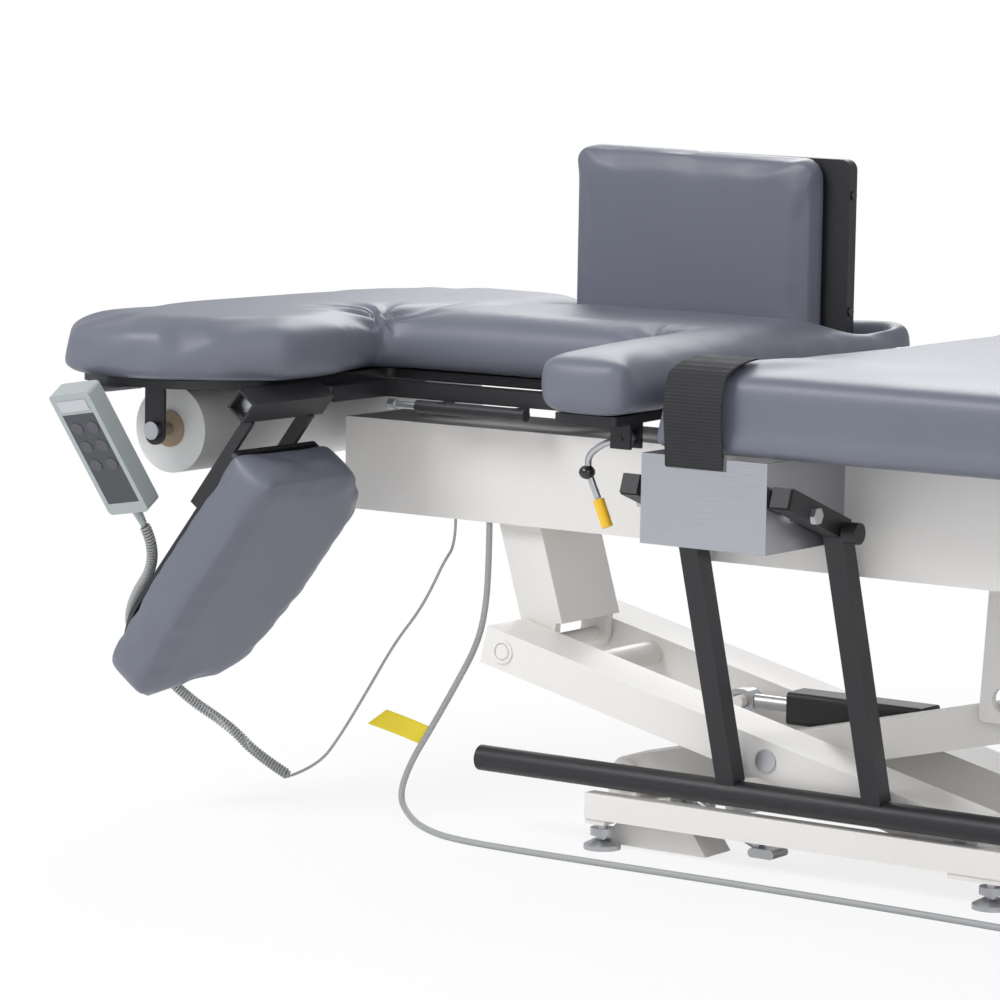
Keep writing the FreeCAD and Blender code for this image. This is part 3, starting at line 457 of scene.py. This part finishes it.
class FinishModel(bpy.types.Operator):
    """Give every carried-over node its own worked surface."""

    bl_idname = "examtable.finish_model"
    bl_label = "Finish metal and plastic"

    def execute(self, context):
        paint = finish(
            "Warm white powder coat", (0.86, 0.835, 0.80), 0.42, "Powder coat", 420, 0.25, coat=0.15, darker=0.95
        )
        black = finish("Black powder coat", (0.022, 0.022, 0.025), 0.42, "Powder coat", 700, 0.45, darker=0.7)
        plastic = finish("Black plastic", (0.018, 0.018, 0.02), 0.5, "Leather grain", 1400, 0.2, darker=0.7)
        steel = finish("Zinc plated steel", (0.60, 0.61, 0.63), 0.34, "Powder coat", 260, 0.15, metallic=1.0)
        alloy = finish(
            "Brushed aluminium", (0.50, 0.51, 0.54), 0.36, "Brushed lines", 900, 0.25, metallic=0.9, darker=0.88
        )
        paper = finish("Paper", (0.90, 0.90, 0.89), 0.85, "Paper fibre", 240, 0.5, darker=0.93)
        card = finish("Card core", (0.46, 0.36, 0.25), 0.85, "Paper fibre", 200, 0.5)
        case = finish("Grey handset case", (0.42, 0.46, 0.46), 0.4, "Powder coat", 800, 0.2, darker=0.93)
        membrane = finish("Dark membrane", (0.055, 0.062, 0.07), 0.35, "Leather grain", 1200, 0.1, darker=0.8)
        key = finish("Key rubber", (0.10, 0.095, 0.11), 0.5, "Powder coat", 900, 0.2)
        yellow = finish("Yellow grip", (0.93, 0.55, 0.015), 0.3, "Powder coat", 300, 0.1, coat=0.4, darker=0.92)
        grey = finish("Grey flex", (0.40, 0.41, 0.41), 0.5, "Powder coat", 700, 0.15, darker=0.9)
        by_slot = {
            "frame_paint": paint, "pivot_paint": paint, "zinc": steel, "black_coat": black, "black_plastic": plastic,
            "bracket_metal": alloy, "paper": paper, "card": card, "handset_grey": case, "membrane": membrane,
            "button_rubber": key, "yellow_grip": yellow, "cord_grey": grey,
        }
        for part in frame["record"]["subparts"]:
            if part["material_slot"] in by_slot:
                node = bpy.data.objects.get(part["node"])
                if node is not None:
                    for slot in node.material_slots:
                        slot.material = by_slot[part["material_slot"]]
        return {"FINISHED"}


class AddCushions(bpy.types.Operator):
    """Seat, head section, drop leaf and upright pad in blue-grey vinyl."""

    bl_idname = "examtable.add_cushions"
    bl_label = "Add the cushions"

    def execute(self, context):
        sizes = context.scene.upholstery_sizes
        vinyl = finish(
            "Slate vinyl", tuple(sizes.vinyl), 0.42, "Leather grain", 1100, 0.16, darker=0.93, spread=0.05
        )
        step = sizes.mesh_step
        seat = padded_copy("seat_cushion", "seat_padding", 0.011, lambda p: p.z < SEAT_HELD, sizes.swell, soften=12)
        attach(seat, "top_frame")
        head = padded_copy("head_cushion", "head_padding", step, lambda p: p.z < HEAD_HELD, sizes.swell, soften=20)
        for corner, reach, depth in zip(NOTCH_CORNERS, (0.10, 0.07), (0.012, 0.008)):
            pleat(head, corner, reach, depth, 9, HEAD_HELD, HEAD_TOP)
        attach(head, "back")
        leaf = padded_copy("leaf_cushion", "leaf_padding", 0.006, lambda p: False, 0.005)
        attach(leaf, "leaf")
        pad_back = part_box("pad_cushion")[1][1]
        pad = padded_copy(
            "pad_cushion", "pad_padding", 0.005, lambda p: p.y > pad_back - PAD_HELD, 0.005, soften=8, calm=10
        )
        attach(pad, "pad")
        for piece in (seat, head, leaf, pad):
            dress(piece, vinyl)
        return {"FINISHED"}


class AddStrap(bpy.types.Operator):
    """Black webbing strap over the near edge of the seat cushion."""

    bl_idname = "examtable.add_strap"
    bl_label = "Add the strap"

    def execute(self, context):
        bpy.ops.object.select_all(action="DESELECT")
        bpy.ops.mesh.primitive_plane_add(size=1)
        strap = context.object
        strap.name = "webbing_strap"
        left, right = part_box("edge_strap")[0][0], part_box("edge_strap")[1][0]
        mesh = bmesh.new()
        rows = []
        across = [left + (right - left) * i / STRAP_CELLS for i in range(STRAP_CELLS + 1)]
        for y, z in STRAP_PROFILE:
            rows.append([mesh.verts.new((x, y + TO_MODEL.y, z)) for x in across])
        for a, b in zip(rows, rows[1:]):
            for i in range(STRAP_CELLS):
                mesh.faces.new((a[i], a[i + 1], b[i + 1], b[i]))
        bmesh.ops.recalc_face_normals(mesh, faces=mesh.faces)
        mesh.to_mesh(strap.data)
        mesh.free()
        settle(strap)
        apply_modifier(strap, "SOLIDIFY", thickness=0.0022, offset=0)
        apply_modifier(strap, "BEVEL", width=0.0006, segments=2)
        apply_modifier(strap, "SUBSURF", levels=1, render_levels=1)
        only(strap)
        bpy.ops.object.shade_smooth()
        dress(strap, finish("Black webbing", (0.02, 0.02, 0.023), 0.7, "Webbing weave", 90, 0.6, darker=0.55))
        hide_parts("edge_strap")
        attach(strap, "top_frame")
        return {"FINISHED"}


class AddLeverBall(bpy.types.Operator):
    """Black ball on the bend of the release lever."""

    bl_idname = "examtable.add_lever_ball"
    bl_label = "Add the lever's ball"

    def execute(self, context):
        bpy.ops.object.select_all(action="DESELECT")
        bpy.ops.mesh.primitive_uv_sphere_add(segments=32, ring_count=16, radius=BALL_RADIUS, location=LEVER_BEND)
        ball = context.object
        ball.name = "lever_ball"
        bpy.ops.object.mode_set(mode="EDIT")
        bpy.ops.transform.resize(value=(1, 1, BALL_FLATNESS))
        bpy.ops.object.mode_set(mode="OBJECT")
        settle(ball)
        bpy.ops.object.shade_smooth()
        dress(ball, finish("Ball plastic", (0.015, 0.015, 0.016), 0.25, "Powder coat", 500, 0.1, coat=0.3))
        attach(ball, "release_lever")
        return {"FINISHED"}


class AddCords(bpy.types.Operator):
    """The handset's curled and plain cord, and the mains lead with its tag."""

    bl_idname = "examtable.add_cords"
    bl_label = "Add the cords"

    def execute(self, context):
        sizes = context.scene.cord_sizes
        flex = bpy.data.materials["Grey flex"]
        plain_curl = bpy.data.objects["handset_curl"]
        top = max((v.co for v in plain_curl.data.vertices), key=lambda p: p.z)
        ring = [v.co for v in plain_curl.data.vertices if (v.co - top).length < CURL_END_REACH]
        start = sum(ring, Vector()) / len(ring)
        route = [tuple(start), tuple(start - CURL_AXIS * CURL_STRAIGHT)] + CURL_ROUTE
        guide = curve_cord("curl_guide", route, sizes.curl)
        points = line_of(guide)
        bpy.data.objects.remove(guide)
        total = length_of(points)
        wire = sizes.curl * WIRE_SHARE
        radius = (sizes.curl - wire) / 2
        count = sizes.turns * TURN_POINTS
        turns = []
        walked, index = 0.0, 0
        side = Vector((0, 1, 0))
        for i in range(count + 1):
            target = total * i / count
            while index < len(points) - 2 and walked + (points[index + 1] - points[index]).length < target:
                walked += (points[index + 1] - points[index]).length
                index += 1
            run = points[index + 1] - points[index]
            place = points[index] + run.normalized() * (target - walked)
            forward = run.normalized()
            side = (side - forward * side.dot(forward)).normalized()
            up = forward.cross(side)
            angle = 2 * math.pi * sizes.turns * i / count
            ease = min(1.0, i / EASE_POINTS, (count - i) / EASE_POINTS)
            turns.append(place + (side * math.cos(angle) + up * math.sin(angle)) * radius * ease)
        curl = curve_cord("curl_coils", [tuple(p) for p in turns], wire)
        curl.data.splines[0].resolution_u = 2
        curl.data.bevel_resolution = 2
        curl = tube_of(curl, "handset_curl")
        plain = curve_cord("plain_line", PLAIN_ROUTE, sizes.plain)
        lead = curve_cord("lead_line", LEAD_ROUTE, sizes.lead)
        plain_points, lead_points = line_of(plain), line_of(lead)
        plain = tube_of(plain, "handset_plain_cord")
        lead = tube_of(lead, "mains_flex")
        for piece in (curl, plain, lead):
            dress(piece, flex)
            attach(piece, "back" if piece is curl else "top_frame")
        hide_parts("handset_curl")
        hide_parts("handset_cord")
        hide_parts("mains_lead")
        tag = self.tag()
        return {"FINISHED"}

    def tag(self):
        """Plain yellow tag on the mains lead."""
        bpy.ops.object.select_all(action="DESELECT")
        bpy.ops.mesh.primitive_plane_add(size=1)
        tag = bpy.context.object
        tag.name = "lead_tag"
        for vertex, place in zip([tag.data.vertices[i] for i in (2, 0, 1, 3)], TAG_CORNERS):
            vertex.co = place
        settle(tag)
        only(tag)
        bpy.ops.object.mode_set(mode="EDIT")
        bpy.ops.mesh.select_all(action="SELECT")
        bpy.ops.mesh.subdivide(number_cuts=6)
        bpy.ops.mesh.normals_make_consistent()
        bpy.ops.object.mode_set(mode="OBJECT")
        for vertex in tag.data.vertices:
            along = (vertex.co.x - TAG_CORNERS[1][0]) / TAG_LENGTH
            vertex.co.y += TAG_BOW * math.sin(math.pi * along)
        apply_modifier(tag, "SOLIDIFY", thickness=0.0012, offset=0)
        apply_modifier(tag, "BEVEL", width=0.0003, segments=2)
        bpy.ops.object.shade_smooth_by_angle()
        dress(tag, finish("Yellow tag", (0.95, 0.75, 0.03), 0.4, "Paper fibre", 200, 0.15, darker=0.95))
        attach(tag, "top_frame")
        return tag


class AddStudio(bpy.types.Operator):
    """Pale floor, soft lights and the photograph's camera."""

    bl_idname = "examtable.add_studio"
    bl_label = "Add the studio"

    def execute(self, context):
        sizes = context.scene.studio_sizes
        bpy.ops.object.select_all(action="DESELECT")
        bpy.ops.mesh.primitive_plane_add(size=sizes.floor)
        floor = context.object
        floor.name = "studio_floor"
        dress(floor, self.floor_finish())
        world = context.scene.world or bpy.data.worlds.new("Studio")
        context.scene.world = world
        world.use_nodes = True
        tree = world.node_tree
        tree.nodes.clear()
        out = tree.nodes.new("ShaderNodeOutputWorld")
        soft = tree.nodes.new("ShaderNodeBackground")
        soft.inputs["Color"].default_value = (0.94, 0.96, 1.0, 1)
        soft.inputs["Strength"].default_value = 0.62
        white = tree.nodes.new("ShaderNodeBackground")
        white.inputs["Color"].default_value = (1, 1, 1, 1)
        mix = tree.nodes.new("ShaderNodeMixShader")
        path = tree.nodes.new("ShaderNodeLightPath")
        tree.links.new(path.outputs["Is Camera Ray"], mix.inputs["Fac"])
        tree.links.new(soft.outputs[0], mix.inputs[1])
        tree.links.new(white.outputs[0], mix.inputs[2])
        tree.links.new(mix.outputs[0], out.inputs["Surface"])
        for name, place, aim, size, share in LAMPS:
            bpy.ops.object.light_add(type="AREA", location=here(place)[0])
            lamp = context.object
            lamp.name = "studio_" + name
            lamp.data.size = size
            lamp.data.energy = sizes.key * share
            lamp.rotation_euler = (Vector(aim) - Vector(place)).to_track_quat("-Z", "Y").to_euler()
        self.camera(context)
        context.scene.view_settings.view_transform = "Standard"
        return {"FINISHED"}

    def floor_finish(self):
        """Pale matt floor that turns to plain white away from the table."""
        mat = bpy.data.materials.new("Studio floor")
        mat.use_nodes = True
        tree = mat.node_tree
        shader = tree.nodes["Principled BSDF"]
        shader.inputs["Base Color"].default_value = (0.92, 0.92, 0.92, 1)
        shader.inputs["Roughness"].default_value = 0.9
        glow = tree.nodes.new("ShaderNodeEmission")
        glow.inputs["Color"].default_value = (1, 1, 1, 1)
        mix = tree.nodes.new("ShaderNodeMixShader")
        path = tree.nodes.new("ShaderNodeLightPath")
        place = tree.nodes.new("ShaderNodeTexCoord")
        away = tree.nodes.new("ShaderNodeVectorMath")
        away.operation = "LENGTH"
        tree.links.new(place.outputs["Object"], away.inputs[0])
        fade = tree.nodes.new("ShaderNodeMapRange")
        fade.inputs["From Min"].default_value, fade.inputs["From Max"].default_value = FLOOR_FADE
        fade.inputs["To Min"].default_value = FLOOR_GLOW
        tree.links.new(away.outputs["Value"], fade.inputs["Value"])
        glowing = tree.nodes.new("ShaderNodeMath")
        glowing.operation = "MULTIPLY"
        tree.links.new(path.outputs["Is Camera Ray"], glowing.inputs[0])
        tree.links.new(fade.outputs["Result"], glowing.inputs[1])
        tree.links.new(glowing.outputs[0], mix.inputs["Fac"])
        tree.links.new(shader.outputs[0], mix.inputs[1])
        tree.links.new(glow.outputs[0], mix.inputs[2])
        tree.links.new(mix.outputs[0], tree.nodes["Material Output"].inputs["Surface"])
        return mat

    def camera(self, context):
        """Camera at the photograph's viewing angle."""
        azimuth, elevation, roll = math.radians(35.0), math.radians(6.85), math.radians(1.0)
        ahead = Vector((-math.sin(azimuth) * math.cos(elevation), math.cos(azimuth) * math.cos(elevation),
                        -math.sin(elevation)))
        right = Vector((math.cos(azimuth), math.sin(azimuth), 0))
        up = right.cross(ahead)
        across = right * math.cos(roll) + up * math.sin(roll)
        above = up * math.cos(roll) - right * math.sin(roll)
        bpy.ops.object.camera_add(location=CAMERA_PLACE)
        camera = context.object
        camera.name = "photo_camera"
        turn = Matrix((across, above, -ahead)).transposed()
        camera.rotation_euler = turn.to_euler()
        camera.data.sensor_width = SENSOR
        camera.data.lens = CAMERA_LENS
        camera.data.clip_end = 100.0
        context.scene.camera = camera


class ExamTablePanel(bpy.types.Panel):
    """Buttons that make the table's pieces."""

    bl_idname = "VIEW3D_PT_exam_table"
    bl_label = "Exam table"
    bl_space_type = "VIEW_3D"
    bl_region_type = "UI"
    bl_category = "Exam table"

    def draw(self, context):
        for operator in OPERATORS:
            self.layout.operator(operator.bl_idname)
        for group in ("upholstery_sizes", "cord_sizes", "studio_sizes"):
            sizes = getattr(context.scene, group)
            for key in sizes.__annotations__:
                self.layout.prop(sizes, key)


OPERATORS = (FinishModel, AddCushions, AddStrap, AddLeverBall, AddCords, AddStudio)
GROUPS = {"upholstery_sizes": UpholsterySizes, "cord_sizes": CordSizes, "studio_sizes": StudioSizes}


def register():
    for name, group in GROUPS.items():
        bpy.utils.register_class(group)
        setattr(bpy.types.Scene, name, bpy.props.PointerProperty(type=group))
    for operator in OPERATORS:
        bpy.utils.register_class(operator)
    bpy.utils.register_class(ExamTablePanel)


def unregister():
    bpy.utils.unregister_class(ExamTablePanel)
    for operator in reversed(OPERATORS):
        bpy.utils.unregister_class(operator)
    for name, group in GROUPS.items():
        delattr(bpy.types.Scene, name)
        bpy.utils.unregister_class(group)


def main():
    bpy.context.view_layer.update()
    register()
    bpy.ops.examtable.finish_model()
    bpy.ops.examtable.add_cushions()
    bpy.ops.examtable.add_strap()
    bpy.ops.examtable.add_lever_ball()
    bpy.ops.examtable.add_cords()
    bpy.ops.examtable.add_studio()
    bpy.context.view_layer.update()


if __name__ == "__main__":
    main()
